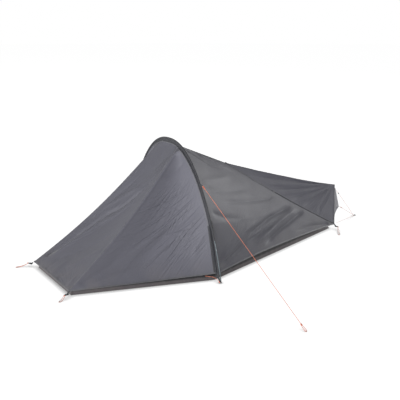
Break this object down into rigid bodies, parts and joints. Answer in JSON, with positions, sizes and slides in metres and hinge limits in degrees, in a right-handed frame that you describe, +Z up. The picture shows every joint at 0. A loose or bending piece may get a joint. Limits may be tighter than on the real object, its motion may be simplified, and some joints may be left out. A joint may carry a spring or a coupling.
{
  "type": "one-person tent",
  "caption": "Pitched one-person tent: grey fly on one cross hoop, low tapered foot, zipped side door, inner tent, bathtub floor and orange guylines.",
  "frame": {"origin": "on the ground under the middle of the hoop, on the groundsheet's underside", "axes": "+X to the low foot end, +Y to the far side away from the door, +Z up"},
  "size_m": [3.3613, 2.4473, 0.9995],
  "materials": {
    "fly_fabric": "coated grey ripstop nylon, slight sheen",
    "sleeve_fabric": "dark grey woven nylon",
    "inner_mesh": "fine grey mesh and light nylon",
    "floor_fabric": "dark coated floor nylon",
    "pole_alloy": "blue grey anodised tube",
    "plain_alloy": "plain satin alloy",
    "black_plastic": "moulded black plastic",
    "zip_plastic": "dark coil zip",
    "orange_plastic": "moulded orange plastic",
    "webbing": "grey woven webbing",
    "orange_cord": "braided orange cord",
    "elastic": "sheathed elastic cord"
  },
  "bodies": {
    "tent": {"fly_head_panel": "fly_fabric", "fly_far_front_panel": "fly_fabric", "fly_near_side_panel": "fly_fabric", "fly_far_side_panel": "fly_fabric", "fly_foot_top_panel": "fly_fabric", "fly_end_panel": "fly_fabric", "pole_sleeve": "sleeve_fabric", "pole_section_1": "pole_alloy", "pole_section_2": "pole_alloy", "pole_section_3": "pole_alloy", "pole_section_4": "pole_alloy", "pole_section_5": "pole_alloy", "pole_ferrule_1": "plain_alloy", "pole_ferrule_2": "plain_alloy", "pole_ferrule_3": "plain_alloy", "pole_ferrule_4": "plain_alloy", "pole_shock_cord": "elastic", "pole_tip_near": "black_plastic", "pole_tip_far": "black_plastic", "door_zip_chain": "zip_plastic", "door_zip_tape": "sleeve_fabric", "corner_tab_head_near": "webbing", "corner_tab_head_far": "webbing", "corner_tab_foot_near": "webbing", "corner_tab_foot_far": "webbing", "peg_loop_head_near": "orange_cord", "peg_loop_head_far": "orange_cord", "peg_loop_foot_near": "orange_cord", "peg_loop_foot_far": "orange_cord", "peg_loop_hoop_near": "orange_cord", "peg_loop_hoop_far": "orange_cord", "hoop_foot_eyelet_near": "plain_alloy", "hoop_foot_eyelet_far": "plain_alloy", "hoop_foot_strap_near": "webbing", "hoop_foot_strap_far": "webbing", "guy_tab_near": "webbing", "guy_tab_far": "webbing", "guyline_near": "orange_cord", "foot_line_peak": "orange_cord", "foot_line_middle": "orange_cord", "foot_line_corner": "orange_cord", "foot_line_ring": "black_plastic", "foot_strut": "pole_alloy", "groundsheet": "floor_fabric", "inner_head_wall": "inner_mesh", "inner_far_front_wall": "inner_mesh", "inner_near_side_wall": "inner_mesh", "inner_far_side_wall": "inner_mesh", "inner_foot_roof": "inner_mesh"},
    "fly_door": {"fly_door": "fly_fabric"},
    "inner_door": {"inner_door": "inner_mesh"},
    "zip_slider": {"door_zip_slider": "plain_alloy"},
    "zip_pull": {"door_zip_pull": "orange_cord"},
    "guy_runner": {"guyline_runner_near": "orange_plastic"},
    "peak_runner": {"foot_line_runner_peak": "black_plastic"},
    "middle_runner": {"foot_line_runner_middle": "orange_plastic"},
    "buckle_head_near": {"corner_buckle_head_near": "black_plastic"},
    "buckle_head_far": {"corner_buckle_head_far": "black_plastic"},
    "buckle_foot_near": {"corner_buckle_foot_near": "black_plastic"},
    "buckle_foot_far": {"corner_buckle_foot_far": "black_plastic"}
  },
  "joints": [
    {"name": "fly_door_hinge", "type": "hinge", "parent": "tent", "child": "fly_door", "pos_m": [-0.004, -0.15, 0.9413], "axis": [-0.7496, -0.1505, -0.6445], "range_deg": [0, 110]},
    {"name": "inner_door_hinge", "type": "hinge", "parent": "tent", "child": "inner_door", "pos_m": [-0.003, -0.6399, 0.056], "axis": [-0.9541, 0.2994, 0], "range_deg": [0, 50]},
    {"name": "zip_slide", "type": "slide", "parent": "tent", "child": "zip_slider", "axis": [0, 0.2432, 0.97], "range_m": [0, 0.3]},
    {"name": "zip_pull_swing", "type": "hinge", "parent": "zip_slider", "child": "zip_pull", "pos_m": [-0.0095, -0.6823, 0.1048], "axis": [-1, 0, 0], "range_deg": [0, 120]},
    {"name": "guy_runner_slide", "type": "slide", "parent": "tent", "child": "guy_runner", "axis": [-0.0071, -0.8655, -0.5008], "range_m": [0, 0.35]},
    {"name": "peak_runner_slide", "type": "slide", "parent": "tent", "child": "peak_runner", "axis": [0.6685, 0.0168, -0.7435], "range_m": [0, 0.22]},
    {"name": "middle_runner_slide", "type": "slide", "parent": "tent", "child": "middle_runner", "axis": [0.8621, 0, -0.5068], "range_m": [0, 0.12]},
    {"name": "buckle_head_near_tilt", "type": "hinge", "parent": "tent", "child": "buckle_head_near", "pos_m": [-1.0693, -0.3698, 0.0295], "axis": [-0.4537, 0.8912, 0], "range_deg": [0, 35]},
    {"name": "buckle_head_far_tilt", "type": "hinge", "parent": "tent", "child": "buckle_head_far", "pos_m": [-1.0672, 0.3828, 0.026], "axis": [0.7986, 0.6019, 0], "range_deg": [0, 35]},
    {"name": "buckle_foot_near_tilt", "type": "hinge", "parent": "tent", "child": "buckle_foot_near", "pos_m": [1.6678, -0.2481, 0.034], "axis": [-0.9968, 0.0797, 0], "range_deg": [0, 35]},
    {"name": "buckle_foot_far_tilt", "type": "hinge", "parent": "tent", "child": "buckle_foot_far", "pos_m": [1.6678, 0.2481, 0.034], "axis": [0.9968, 0.0797, 0], "range_deg": [0, 35]}
  ]
}
